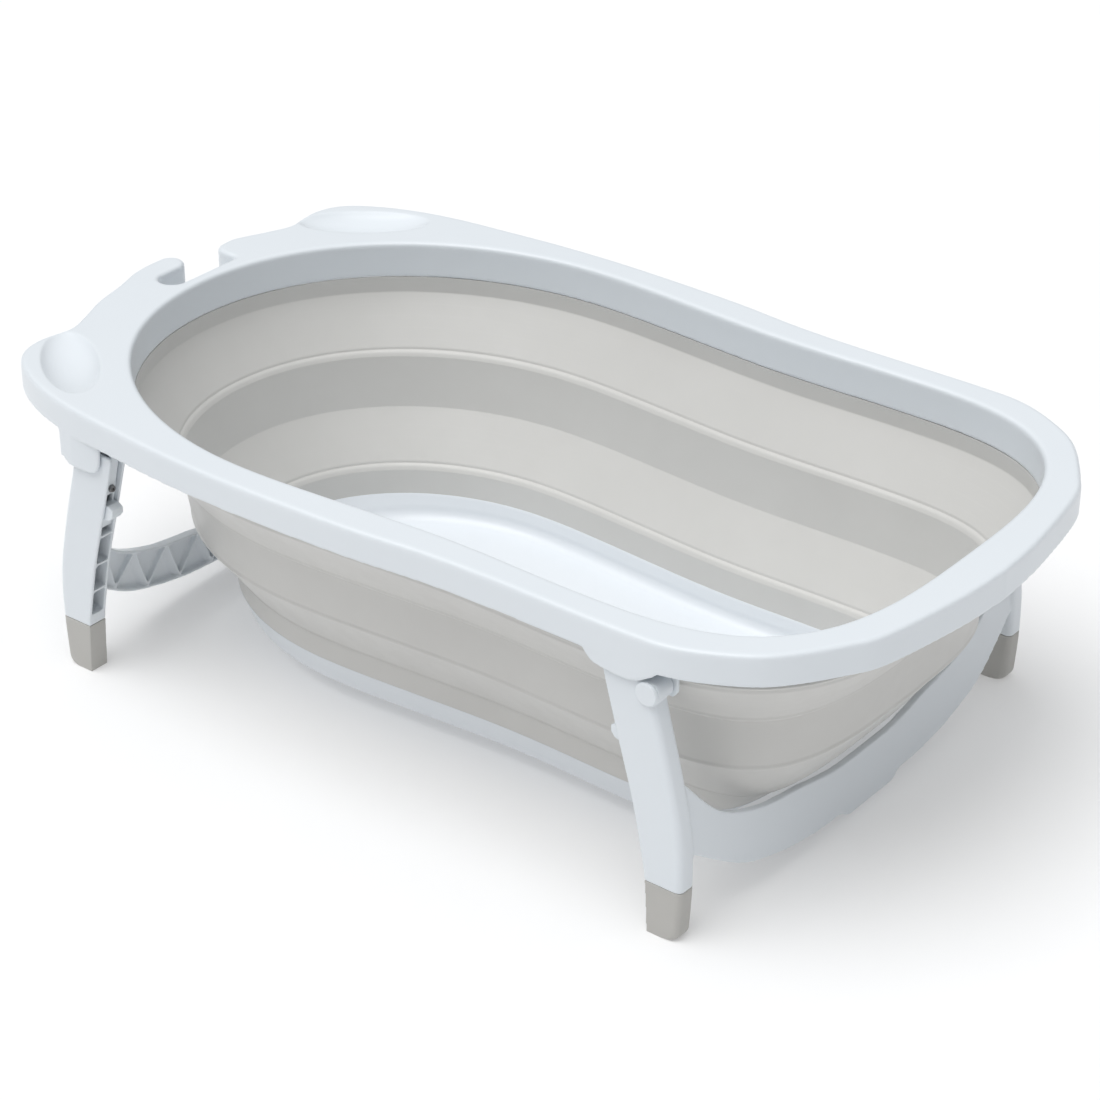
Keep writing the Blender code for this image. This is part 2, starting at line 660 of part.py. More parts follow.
def make_hinge_arm(end, side):
    """A strip screwed into the channel, which stiffens the leg top and reaches up inside the rim."""
    outer = LEG_OUTER_Y[end]
    low, high = outer - 0.0112, outer - 0.0032
    span = (low, high) if side > 0 else (-high, -low)
    mirror = 1 if end == "foot" else -1

    def front(z):
        return edge_x(LEG_INNER_EDGE, min(z, LEG_TOP)) + 0.0026 - max(0.0, z - LEG_TOP) * 0.28

    heights = (0.1665, SCREW_HEIGHT, 0.1900, 0.2040)
    outline = [(front(z), z) for z in heights] + [(front(z) + 0.0028, z) for z in reversed(heights)]
    arm = prism(f"{corner(end, side)}_hinge_arm", [facing(end, outline)], *span, "XZ")
    bore_middle = (mirror * 0.2450, side * (outer - 0.0072), SCREW_HEIGHT)
    cut(arm, cylinder("arm_bore", bore_middle, 0.0018, 0.02, (1, 0, 0), 14))
    return finish(arm, WHITE)


def make_arm_screw(end, side):
    """A pan-head screw with a square socket, driven from the middle of the tub."""
    outer = LEG_OUTER_Y[end]
    mirror = 1 if end == "foot" else -1
    y = side * (outer - 0.0072)
    seat = edge_x(LEG_INNER_EDGE, SCREW_HEIGHT) + 0.0013
    shank_end = 0.2600
    inward = (mirror, 0, 0)
    shank_middle = (mirror * (seat + shank_end) / 2, y, SCREW_HEIGHT)
    screw = cylinder(f"{corner(end, side)}_arm_screw", shank_middle, 0.0015, shank_end - seat, inward, 14)
    add(screw, cylinder("screw_head", (mirror * (seat - 0.0008), y, SCREW_HEIGHT), 0.0026, 0.0017, inward, 20, 0.0032))
    low_x, high_x = sorted((mirror * (seat - 0.0030), mirror * (seat - 0.0006)))
    half = 0.0009
    low_corner = (low_x, y - half, SCREW_HEIGHT - half)
    high_corner = (high_x, y + half, SCREW_HEIGHT + half)
    cut(screw, box("screw_socket", low_corner, high_corner))
    return finish(screw, STEEL)


def make_release_lever(end, side):
    """A sprung lever in the channel: a finger tab at its foot and a slim stem beside the hinge arm."""
    outer = LEG_OUTER_Y[end]
    inner = outer - LEG_THICK

    def span(low, high):
        return (low, high) if side > 0 else (-high, -low)

    def edge(z):
        return edge_x(LEG_INNER_EDGE, z)

    tab = [
        (edge(0.1345) + 0.0075, 0.1345), (edge(0.1420) + 0.0105, 0.1420), (edge(0.1580) + 0.0060, 0.1580),
        (edge(0.1580) - 0.0010, 0.1580), (edge(0.1550) - 0.0066, 0.1550), (edge(0.1500) - 0.0078, 0.1500),
        (edge(0.1460) - 0.0058, 0.1460), (edge(0.1440) + 0.0010, 0.1440), (edge(0.1345) + 0.0030, 0.1345),
    ]
    lever = prism(f"{corner(end, side)}_release_lever", [facing(end, tab)],
                  *span(inner + LEG_SKIN + GAP, outer - LEG_SKIN - GAP), "XZ")
    stem = [(edge(0.1500) + 0.0030, 0.1500), (edge(0.1500) + 0.0065, 0.1500),
            (edge(0.1950) + 0.0085, 0.1935), (edge(0.1950) + 0.0050, 0.1935)]
    stem_span = span(inner + LEG_SKIN + 0.0006, inner + LEG_SKIN + 0.0030)
    add(lever, prism("lever_stem", [facing(end, stem)], *stem_span, "XZ"))
    return finish(lever, WHITE)


def make_legs():
    for end in ("foot", "head"):
        make_frame(end)
        for side in (-1, 1):
            make_foot_cap(end, side)
            make_hinge_pin(end, side)
            make_hinge_arm(end, side)
            make_arm_screw(end, side)
            make_release_lever(end, side)


# ---- joint axes ------------------------------------------------------------------------------------

def joint_empty(name, place, members):
    """An empty on a joint's axis that carries the pieces which move about it."""
    pivot = bpy.data.objects.new(name, None)
    pivot.location = place
    PARTS.objects.link(pivot)
    bpy.context.view_layer.update()
    for member in members:
        child = bpy.data.objects[member]
        child.parent = pivot
        child.matrix_parent_inverse = pivot.matrix_world.inverted()
    return pivot


def make_joints():
    joint_empty("basin_collapse_axis", (0, 0, MIDDLE_BAND[0][1]), ["bellows_middle_band", "bellows_lower_web"])
    joint_empty("tray_collapse_axis", (0, 0, TRAY_FLOOR), ["tray", "bellows_bottom_band"])
    joint_empty("drain_lift_axis", (DRAIN_X, 0, TRAY_FLOOR), ["drain_plug", "drain_seal"])
    for end, x in (("foot", PIVOT_X), ("head", -PIVOT_X)):
        carried = [f"{end}_leg_frame"]
        for side in (-1, 1):
            carried += [f"{corner(end, side)}_{piece}" for piece in ("foot_cap", "hinge_arm", "arm_screw")]
            lever_x = edge_x(LEG_INNER_EDGE, LEVER_PIVOT_Z) + 0.006
            lever_at = (lever_x if end == "foot" else -lever_x, side * LEG_OUTER_Y[end], LEVER_PIVOT_Z)
            joint_empty(f"{corner(end, side)}_lever_axis", lever_at, [f"{corner(end, side)}_release_lever"])
        joint_empty(f"{end}_leg_axis", (x, 0, PIVOT_Z), carried)


make_rim()
make_bellows()
make_tray()
make_drain()
make_legs()
make_joints()
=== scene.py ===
"""The looks of a folding baby bathtub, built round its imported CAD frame.

Metres, +Z up, +X towards the foot end. The white moulded pieces get rounded edges, the basin gets its soft
folded wall, and everything gets a procedural finish.
"""

import json
import math

import bmesh
import bpy
from mathutils import Matrix, Vector

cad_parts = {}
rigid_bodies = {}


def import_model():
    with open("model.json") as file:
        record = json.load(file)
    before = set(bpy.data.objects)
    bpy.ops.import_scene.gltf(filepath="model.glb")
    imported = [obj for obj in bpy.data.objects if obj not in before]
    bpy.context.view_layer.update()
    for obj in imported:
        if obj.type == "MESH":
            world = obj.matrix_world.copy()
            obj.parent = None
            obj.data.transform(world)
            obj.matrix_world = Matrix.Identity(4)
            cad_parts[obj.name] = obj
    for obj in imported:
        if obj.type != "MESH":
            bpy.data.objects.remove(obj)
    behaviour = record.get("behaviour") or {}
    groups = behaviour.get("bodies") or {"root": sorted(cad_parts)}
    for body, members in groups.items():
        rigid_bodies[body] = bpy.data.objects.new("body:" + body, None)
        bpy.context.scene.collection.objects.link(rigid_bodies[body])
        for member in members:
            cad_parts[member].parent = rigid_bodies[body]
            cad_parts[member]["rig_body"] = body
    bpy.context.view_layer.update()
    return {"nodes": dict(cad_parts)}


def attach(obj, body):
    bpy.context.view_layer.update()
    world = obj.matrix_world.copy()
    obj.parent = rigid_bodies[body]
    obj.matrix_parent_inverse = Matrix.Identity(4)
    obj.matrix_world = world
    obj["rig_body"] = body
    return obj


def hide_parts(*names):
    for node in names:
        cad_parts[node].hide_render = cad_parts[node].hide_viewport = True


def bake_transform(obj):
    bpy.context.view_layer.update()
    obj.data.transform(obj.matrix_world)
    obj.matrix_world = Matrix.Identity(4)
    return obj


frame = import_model()
SCENE = bpy.context.scene.collection

# ---- dimensions shared with the CAD ----------------------------------------------------------------

RIM_TOP = 0.237
RIM_PLATE = 0.0030
RIM_WALL = 0.0026
RIM_WALL_LOW = 0.206
SKIRT_LOW = 0.2125

# The mouth of the basin: points round it, an oval at each end, and the sides between them.
STATIONS = 336
HEAD_CENTRE, HEAD_LENGTH, HEAD_WIDTH, HEAD_POWER = -0.10, 0.251, 0.2145, 2.05
FOOT_CENTRE, FOOT_LENGTH, FOOT_WIDTH, FOOT_POWER = 0.19, 0.186, 0.2055, 3.2
SIDE_BLEND_END = 0.07
WAIST_START, WAIST_DEPTH = 0.01, 0.002
MOUTH_PASSES = 6

# The hook slot in the head panel: its long sides, its near end and the side of its mouth.
SLOT_BACK, SLOT_FRONT = -0.3860, -0.3625
SLOT_NEAR, MOUTH_WALL = -0.0220, 0.0520

# The soap dishes: place, turn along the panel's edge, centre above the rim's top, and half sizes.
DISH_X, DISH_Y = -0.3270, 0.1720
DISH_TURN = 38
DISH_RISE = 0.0065
DISH_OUTSIDE = (0.0635, 0.0270, 0.0175)
DISH_INSIDE = (0.0615, 0.0250, 0.0150)
DISH_LIP = 0.0006

# Cross ribs under the rim, one every few stations. The head end and the leg hinges have none.
RIM_RIB_STEP = 14
RIM_RIB_THICK, RIM_RIB_TALL, RIM_RIB_Z = 0.0016, 0.0105, 0.2300
RIM_RIB_HEAD_END = -0.23
RIM_RIB_HINGES = (0.22, 0.30)

# The wall's fold lines, as (distance in from the mouth, height).
WALL = ((0.0, 0.2060), (0.0, 0.1925), (0.034, 0.1485),
        (0.041, 0.1050), (0.0725, 0.0607), (0.0745, 0.0390))
SOFT_WALL = 0.0021
FOLD_RADIUS = 0.0024
# Beads along the wall's two faces: (fold, distance past it, height outwards, half width).
INNER_BEADS = ((2, -0.0062, 0.00075, 0.0010), (2, -0.0028, -0.00035, 0.0020),
               (4, -0.0062, 0.00075, 0.0010), (4, -0.0028, -0.00035, 0.0020))
OUTER_BEADS = ((1, -0.0035, 0.0011, 0.0013), (2, -0.0062, 0.0011, 0.0013),
               (3, 0.0, 0.0009, 0.0015), (4, 0.0, 0.0009, 0.0015))
# How the basin's low ends slope in, and how much smoother its outline gets with the distance in.
FOOT_SLOPE, HEAD_SLOPE = 1.0, 0.7
FOOT_STEP_IN = 0.002
HEAD_SLOPE_TOP = 0.0393
SLOPE_START, SLOPE_POWER = 0.05, 1.5
PASSES_PER_METRE = 160
TRAY_FLOOR = 0.0188
DRAIN_X = 0.20
DRAIN_HOLE_RADIUS = 0.0163

PIVOT_X, PIVOT_Z = 0.272, 0.194
KNUCKLE_RADIUS = 0.0092
BOSS_X, BOSS_DEEP, BOSS_Z = 0.2642, 0.0072, 0.1725
BOSS_RADIUS, BOSS_LENGTH = 0.0034, 0.0318
LEG_TOP = 0.2030
LEG_LOW = 0.0423
LEG_THICK = 0.0174
LEG_OUTER_Y = {"foot": 0.2262, "head": 0.2240}
LEG_SKIN = 0.0026
LEG_ROUNDING = 0.0050
TOE_RADIUS = 0.0075
CAP_GAP = 0.0003
# The spigot inside each foot cap and the pocket that takes it: their outlines, and how far they lie in
# from the leg's faces.
SPIGOT = ((0.2797, 0.0150), (0.2940, 0.0150), (0.2960, LEG_LOW + 0.004), (0.2782, LEG_LOW + 0.004))
SPIGOT_IN = 0.0042
CAP_POCKET = ((0.2786, 0.0116), (0.2954, 0.0116), (0.2974, LEG_LOW + 0.004), (0.2771, LEG_LOW + 0.004))
CAP_POCKET_IN = 0.0035
# The leg's two edges, as (distance out from the middle of the tub, height).
LEG_INNER_EDGE = ((0.2352, LEG_TOP), (0.2352, 0.196), (0.2475, 0.150), (0.260, 0.105),
                  (0.2675, 0.070), (0.2722, LEG_LOW))
LEG_OUTER_EDGE = ((0.3030, LEG_LOW), (0.3015, 0.085), (0.2915, 0.133),
                  (0.2790, 0.180), (0.2735, LEG_TOP))
LEG_PAST_TOP = 0.020
# Ribs across the channel of each leg.
RIB_HEIGHTS = (0.0500, 0.0735, 0.0990, 0.1265)
RIB_THICK = 0.0022

# The crossbar's two edges, as (distance from the middle, height).
BAR_TOP = ((0.0, 0.0480), (0.040, 0.0490), (0.083, 0.0560),
           (0.130, 0.0640), (0.174, 0.0830), (0.2085, 0.1200))
BAR_LOW = ((0.0, 0.0130), (0.040, 0.0130), (0.080, 0.0150),
           (0.120, 0.0220), (0.160, 0.0350), (0.2085, 0.0660))
BAR_FACE_X, BAR_LEAN = 0.3115, 0.185
BAR_FLANGE = {"foot": 0.0055, "head": 0.0085}
BAR_SKIN = 0.0024
BAR_INTO_LEG = 0.0012
GRIP_HALF, GRIP_DROP, GRIP_RAMP = 0.026, 0.0055, 0.016
TRUSS_REACH, TRUSS_RIBS, TRUSS_THICK, TRUSS_INSET = 0.190, 20, 0.0017, 0.0012

# ---- light and camera ------------------------------------------------------------------------------

SKY_COLOUR = (0.97, 0.985, 1.0, 1.0)
SKY_BELOW, SKY_ABOVE = 0.08, 0.84
SOFTBOX_STRENGTH, SOFTBOX_ANGLE = 1.75, 50
SOFTBOX_DIRECTION = (0.35, 0.80, -2.30)
CAMERA_PLACE = (1.30398, -1.63721, 1.29369)
CAMERA_DIRECTION = (-0.53929, 0.68269, -0.49306)
CAMERA_LENS, CAMERA_SENSOR = 101.45, 36.0


# ---- procedural finishes ---------------------------------------------------------------------------

class Nodes:
    """A short way to write a material's node tree."""

    def __init__(self, name):
        self.material = bpy.data.materials.new(name)
        self.material.use_nodes = True
        self.tree = self.material.node_tree
        self.shader = self.tree.nodes["Principled BSDF"]
        self.place = self.add("ShaderNodeTexCoord").outputs["Object"]

    def add(self, kind, **settings):
        node = self.tree.nodes.new(kind)
        for key, value in settings.items():
            setattr(node, key, value)
        return node

    def link(self, source, target):
        self.tree.links.new(source, target)

    def noise(self, scale, detail=2.0, roughness=0.5):
        node = self.add("ShaderNodeTexNoise")
        node.inputs["Scale"].default_value = scale
        node.inputs["Detail"].default_value = detail
        node.inputs["Roughness"].default_value = roughness
        self.link(self.place, node.inputs["Vector"])
        return node.outputs["Fac"]

    def spread(self, source, low, high, start=0.35, end=0.65):
        """Turns a noise value into one between low and high."""
        node = self.add("ShaderNodeMapRange", clamp=True)
        node.inputs["From Min"].default_value = start
        node.inputs["From Max"].default_value = end
        node.inputs["To Min"].default_value = low
        node.inputs["To Max"].default_value = high
        self.link(source, node.inputs["Value"])
        return node.outputs["Result"]

    def two_colours(self, factor, first, second):
        node = self.add("ShaderNodeMix", data_type="RGBA")
        self.link(factor, node.inputs["Factor"])
        node.inputs[6].default_value = (*first, 1.0)
        node.inputs[7].default_value = (*second, 1.0)
        return node.outputs[2]

    def bumps(self, *layers):
        """Layers of (height, depth in metres), one on another, into the shader's normal."""
        normal = None
        for height, depth in layers:
            node = self.add("ShaderNodeBump")
            node.inputs["Strength"].default_value = 1.0
            node.inputs["Distance"].default_value = depth
            self.link(height, node.inputs["Height"])
            if normal is not None:
                self.link(normal, node.inputs["Normal"])
            normal = node.outputs["Normal"]
        self.link(normal, self.shader.inputs["Normal"])

    def set(self, **values):
        for key, value in values.items():
            self.shader.inputs[key.replace("_", " ")].default_value = value


def moulded_plastic(name, light, dark, shine=(0.285, 0.355)):
    """Injection-moulded polypropylene: satin gloss, a little wavy, faintly cloudy and unevenly wiped."""
    n = Nodes(name)
    cloud = n.spread(n.noise(9.0, 3.0), 0.0, 1.0, 0.25, 0.75)
    n.link(n.two_colours(cloud, light, dark), n.shader.inputs["Base Color"])
    n.link(n.spread(n.noise(38.0, 2.0), *shine, 0.25, 0.75), n.shader.inputs["Roughness"])
    n.bumps((n.noise(24.0, 0.0), 0.00010), (n.noise(240.0, 1.0), 0.000012))
    n.set(IOR=1.49, Specular_IOR_Level=0.5)
    return n.material


def soft_rubber(name, light, dark, shine, grain=0.000030):
    """Thermoplastic rubber: satin, with a fine grain, flow marks along the wall and a dusty sheen."""
    n = Nodes(name)
    mottle = n.spread(n.noise(14.0, 4.0, 0.55), 0.0, 1.0)
    n.link(n.two_colours(mottle, light, dark), n.shader.inputs["Base Color"])
    n.link(n.spread(n.noise(60.0, 3.0, 0.6), *shine), n.shader.inputs["Roughness"])
    n.bumps((n.noise(22.0, 2.0), 0.00022), (n.noise(1100.0, 3.0, 0.6), grain))
    n.set(IOR=1.47, Sheen_Weight=0.10, Sheen_Roughness=0.4)
    return n.material


def plated_steel(name):
    """The arm screws' plating: dull metal with small worn patches."""
    n = Nodes(name)
    wear = n.spread(n.noise(420.0, 4.0), 0.0, 1.0)
    n.link(n.two_colours(wear, (0.20, 0.20, 0.21), (0.31, 0.31, 0.31)), n.shader.inputs["Base Color"])
    n.link(n.spread(n.noise(900.0, 3.0), 0.28, 0.46), n.shader.inputs["Roughness"])
    n.bumps((n.noise(1600.0, 2.0), 0.00002))
    n.set(Metallic=1.0)
    return n.material


WHITE = moulded_plastic("white_polypropylene", (0.775, 0.815, 0.850), (0.762, 0.804, 0.841))
TRAY_WHITE = moulded_plastic("tray_polypropylene", (0.790, 0.825, 0.860), (0.775, 0.812, 0.850),
                             (0.29, 0.37))
SOFT_GREY = soft_rubber("soft_grey_rubber", (0.635, 0.627, 0.605), (0.620, 0.612, 0.590), (0.34, 0.46))
FOOT_GREY = soft_rubber("foot_rubber", (0.505, 0.495, 0.470), (0.480, 0.470, 0.447), (0.55, 0.70), 0.00006)
SEAL = soft_rubber("seal_rubber", (0.140, 0.145, 0.150), (0.115, 0.120, 0.125), (0.45, 0.60))
STEEL = plated_steel("plated_steel")


# ---- outline mathematics -----------------------------------------------------------------------------

def smoothstep(value):
    value = min(max(value, 0.0), 1.0)
    return value * value * (3.0 - 2.0 * value)


def spline(points, steps):
    """A smooth line through the points, with this many steps between each pair."""
    padded = [points[0], *points, points[-1]]
    line = []
    for before, start, end, after in zip(padded, padded[1:], padded[2:], padded[3:]):
        for step in range(steps):
            t = step / steps
            line.append(tuple(
                0.5 * (2 * p1 + (p2 - p0) * t + (2 * p0 - 5 * p1 + 4 * p2 - p3) * t * t
                       + (3 * p1 - p0 - 3 * p2 + p3) * t ** 3)
                for p0, p1, p2, p3 in zip(before, start, end, after)
            ))
    line.append(tuple(points[-1]))
    return line


def table_reader(table, steps=24):
    """A function that reads a smooth table of (place, value)."""
    line = spline(sorted(table), steps)

    def read(place):
        place = min(max(place, line[0][0]), line[-1][0])
        for (a, low), (b, high) in zip(line, line[1:]):
            if place <= b:
                return low + (high - low) * (place - a) / max(b - a, 1e-9)
        return line[-1][1]

    return read


def arc(centre, radius, start, end, steps):
    """Points along a circle between two angles in degrees."""
    angles = [math.radians(start + (end - start) * i / steps) for i in range(steps + 1)]
    return [(centre[0] + radius * math.cos(a), centre[1] + radius * math.sin(a)) for a in angles]


def oval_quarter(centre, length, width, power, steps):
    """From the tip of one end, at y = 0, to the widest place, at x = centre."""
    points = []
    for i in range(steps):
        angle = 0.5 * math.pi * i / steps
        x = centre + length * math.cos(angle) ** (2 / power)
        y = width * math.sin(angle) ** (2 / power)
        points.append((x, y))
    return points


def side_width(x):
    """Half the mouth's width along its sides, with their slight waist."""
    share = smoothstep((x - HEAD_CENTRE) / (SIDE_BLEND_END - HEAD_CENTRE))
    waist = math.sin(math.pi * (x - WAIST_START) / (FOOT_CENTRE - WAIST_START)) if x > WAIST_START else 0.0
    return HEAD_WIDTH + (FOOT_WIDTH - HEAD_WIDTH) * share - WAIST_DEPTH * waist * waist


def even_steps(points, count):
    """The closed outline with its points spread evenly along it."""
    closed = [*points, points[0]]
    lengths = [0.0]
    for a, b in zip(closed, closed[1:]):
        lengths.append(lengths[-1] + math.dist(a, b))
    even = []
    at = 0
    for i in range(count):
        goal = lengths[-1] * i / count
        while lengths[at + 1] < goal:
            at += 1
        share = (goal - lengths[at]) / max(lengths[at + 1] - lengths[at], 1e-9)
        even.append(tuple(p + (q - p) * share for p, q in zip(closed[at], closed[at + 1])))
    return even


def mouth_outline():
    """The rim's inner edge, anticlockwise from the foot tip."""
    quarter = 90
    half = oval_quarter(FOOT_CENTRE, FOOT_LENGTH, FOOT_WIDTH, FOOT_POWER, quarter)
    for i in range(quarter + 1):
        x = FOOT_CENTRE + (HEAD_CENTRE - FOOT_CENTRE) * i / quarter
        half.append((x, side_width(x)))
    half += reversed(oval_quarter(HEAD_CENTRE, -HEAD_LENGTH, HEAD_WIDTH, HEAD_POWER, quarter)[1:])
    half.append((HEAD_CENTRE - HEAD_LENGTH, 0.0))
    return even_steps(half + [(x, -y) for x, y in reversed(half[1:-1])], STATIONS)


def relaxed(points, passes):
    """The closed outline with each point drawn towards its two neighbours, over and over."""
    count = len(points)
    for _ in range(passes):
        points = [
            tuple(0.25 * a + 0.5 * b + 0.25 * c
                  for a, b, c in zip(points[i - 1], points[i], points[(i + 1) % count]))
            for i in range(count)
        ]
    return points


def moved_in(points, distance):
    """The closed anticlockwise outline moved inwards along its normals."""
    count = len(points)
    moved = []
    for i, (x, y) in enumerate(points):
        ahead = points[(i + 1) % count]
        behind = points[i - 1]
        along = Vector((ahead[0] - behind[0], ahead[1] - behind[1])).normalized()
        moved.append((x - along.y * distance, y + along.x * distance))
    return moved


MOUTH = relaxed(mouth_outline(), MOUTH_PASSES)


def basin_ring(distance, height):
    """One level of the basin. Low down its two ends slope in, which leaves the crossbars their path."""
    foot_slope_top = WALL[4][1]
    foot_pull = FOOT_STEP_IN + FOOT_SLOPE * (foot_slope_top - height) if height < foot_slope_top else 0.0
    head_pull = max(0.0, HEAD_SLOPE * (HEAD_SLOPE_TOP - height))
    ring = relaxed(moved_in(MOUTH, distance), int(PASSES_PER_METRE * max(distance, 0.0)))
    foot_tip = max(x for x, _ in ring)
    head_tip = min(x for x, _ in ring)
    level = []
    for x, y in ring:
        toward_foot = max(0.0, (x - SLOPE_START) / (foot_tip - SLOPE_START)) ** SLOPE_POWER
        toward_head = max(0.0, (x + SLOPE_START) / (head_tip + SLOPE_START)) ** SLOPE_POWER
        level.append(Vector((x - foot_pull * toward_foot + head_pull * toward_head, y, height)))
    return level


# ---- mesh helpers ------------------------------------------------------------------------------------

def new_object(name, mesh):
    made = bpy.data.objects.new(name, mesh)
    SCENE.objects.link(made)
    return made


def from_cage(name, cage):
    mesh = bpy.data.meshes.new(name)
    cage.to_mesh(mesh)
    cage.free()
    return new_object(name, mesh)


def prism(name, outlines, low, high, plane="XY", round_edge=0.0):
    """A flat outline given thickness, with rounded edges. Its second and later outlines are holes."""
    curve = bpy.data.curves.new(name, "CURVE")
    curve.dimensions = "2D"
    curve.fill_mode = "BOTH"
    curve.extrude = (high - low) / 2 - round_edge
    curve.bevel_depth = round_edge
    curve.offset = -round_edge
    curve.bevel_resolution = 3
    for outline in outlines:
        poly = curve.splines.new("POLY")
        poly.points.add(len(outline) - 1)
        for point, (u, v) in zip(poly.points, outline):
            point.co = (u, v, 0.0, 1.0)
        poly.use_cyclic_u = True
    drawn = bpy.data.objects.new(name, curve)
    SCENE.objects.link(drawn)
    middle = (low + high) / 2
    if plane == "XZ":
        drawn.matrix_world = Matrix.Translation((0, middle, 0)) @ Matrix.Rotation(math.pi / 2, 4, "X")
    else:
        drawn.matrix_world = Matrix.Translation((0, 0, middle))
    return baked(drawn, name)


def baked(drawn, name):
    """The object as a welded mesh with its modifiers and place applied. The original is removed."""
    bpy.context.view_layer.update()
    graph = bpy.context.evaluated_depsgraph_get()
    mesh = bpy.data.meshes.new_from_object(drawn.evaluated_get(graph))
    mesh.transform(drawn.matrix_world)
    bpy.data.objects.remove(drawn)
    cage = bmesh.new()
    cage.from_mesh(mesh)
    bmesh.ops.remove_doubles(cage, verts=cage.verts, dist=1e-6)
    bmesh.ops.recalc_face_normals(cage, faces=cage.faces)
    cage.to_mesh(mesh)
    cage.free()
    return new_object(name, mesh)


def cylinder(name, centre, radius, length, axis, segments=48):
    cage = bmesh.new()
    turn = Vector((0, 0, 1)).rotation_difference(Vector(axis)).to_matrix().to_4x4()
    bmesh.ops.create_cone(cage, cap_ends=True, segments=segments, radius1=radius, radius2=radius,
                          depth=length, matrix=Matrix.Translation(centre) @ turn)
    return from_cage(name, cage)


def combine(target, operation, others):
    """Cuts the others from the target, or joins them to it, and removes them."""
    for other in others:
        modifier = target.modifiers.new(operation, "BOOLEAN")
        modifier.operation = operation
        modifier.solver = "EXACT"
        modifier.object = other
    made = baked(target, target.name)
    for other in others:
        bpy.data.objects.remove(other)
    return made


def gathered(name, parts):
    """One object from several overlapping shapes. Softening then fuses them into one skin."""
    cage = bmesh.new()
    for part in parts:
        cage.from_mesh(part.data)
        bpy.data.objects.remove(part)
    return from_cage(name, cage)


def softened(obj, voxel, passes):
    """One moulded skin over the whole shape, with every edge and inner corner rounded off."""
    remesh = obj.modifiers.new("skin", "REMESH")
    remesh.mode = "VOXEL"
    remesh.voxel_size = voxel
    smooth = obj.modifiers.new("fillets", "SMOOTH")
    smooth.factor = 0.5
    smooth.iterations = passes
    made = baked(obj, obj.name)
    made.data.shade_smooth()
    return made


def dress(obj, surface, body, *nodes, slot="white_plastic"):
    """Gives a piece its finish, its body and the CAD nodes it stands for."""
    obj.data.materials.clear()
    obj.data.materials.append(surface)
    obj.data.shade_smooth()
    if body:
        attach(obj, body)
    if nodes:
        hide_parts(*nodes)


# ---- rim ---------------------------------------------------------------------------------------------

def rim_outline():
    """The rim's outer edge, anticlockwise from the foot tip, with the hook slot let into the head panel."""
    body = [
        (0.410, 0.0), (0.4065, 0.050), (0.394, 0.122), (0.380, 0.152), (0.355, 0.188),
        (0.330, 0.2085), (0.290, 0.2265), (0.245, 0.2303), (0.140, 0.2300), (0.080, 0.2320),
        (0.010, 0.2385), (-0.090, 0.2415), (-0.160, 0.2395), (-0.220, 0.2340), (-0.272, 0.2278),
        (-0.315, 0.2170), (-0.350, 0.2005), (-0.3690, 0.1830), (-0.3755, 0.1600),
        (-0.3715, 0.1300), (-0.3785, 0.1080), (-0.3905, 0.0800),
    ]
    near_arch = [(-0.3985, 0.0500), (-0.4075, 0.0220), (-0.4100, 0.0)]
    far_side = spline([*body, (-0.3912, 0.0680)], 14)
    middle = (SLOT_BACK + SLOT_FRONT) / 2
    radius = (SLOT_FRONT - SLOT_BACK) / 2
    slot = arc((-0.3772, 0.0660), 0.0140, 180, 270, 16)
    slot += arc((SLOT_FRONT - 0.004, MOUTH_WALL - 0.004), 0.004, 90, 0, 8)
    slot += arc((middle, SLOT_NEAR + radius), radius, 0, -180, 28)
    slot += arc((-0.3979, 0.0100), 0.0119, 0, 180, 24)
    mirrored = [(x, -y) for x, y in reversed([*body, *near_arch])]
    return far_side[:-1] + slot + spline(mirrored, 14)[1:-1]


def dish_bowl(side, size, name):
    """An oval bowl's ellipsoid, placed over one soap dish and turned along the panel's edge."""
    cage = bmesh.new()
    bmesh.ops.create_uvsphere(cage, u_segments=72, v_segments=36, radius=1.0)
    bmesh.ops.scale(cage, vec=size, verts=cage.verts)
    place = Matrix.Translation((DISH_X, side * DISH_Y, RIM_TOP + DISH_RISE))
    cage.transform(place @ Matrix.Rotation(math.radians(side * DISH_TURN), 4, "Z"))
    return from_cage(name, cage)


def rim_ribs():
    """Cross ribs inside the hollow rim, which show from below."""
    outer = even_steps(moved_in(rim_outline(), RIM_WALL * 0.5), 420)
    ribs = []
    for i in range(0, STATIONS, RIM_RIB_STEP):
        start = Vector(MOUTH[i])
        if start.x < RIM_RIB_HEAD_END or RIM_RIB_HINGES[0] < start.x < RIM_RIB_HINGES[1]:
            continue
        along = (Vector(MOUTH[(i + 1) % STATIONS]) - Vector(MOUTH[i - 1])).normalized()
        out = Vector((along.y, -along.x))
        offsets = [Vector(point) - start for point in outer]
        reach = min(offset.dot(out) for offset in offsets
                    if abs(offset.dot(along)) < 0.004 and offset.dot(out) > 0.01)
        middle = start + out * (reach / 2 + 0.001)
        cage = bmesh.new()
        bmesh.ops.create_cube(cage, size=1.0)
        bmesh.ops.scale(cage, vec=(reach, RIM_RIB_THICK, RIM_RIB_TALL), verts=cage.verts)
        turn = Matrix.Rotation(math.atan2(out.y, out.x), 4, "Z")
        cage.transform(Matrix.Translation((middle.x, middle.y, RIM_RIB_Z)) @ turn)
        ribs.append(from_cage("rib", cage))
    return ribs


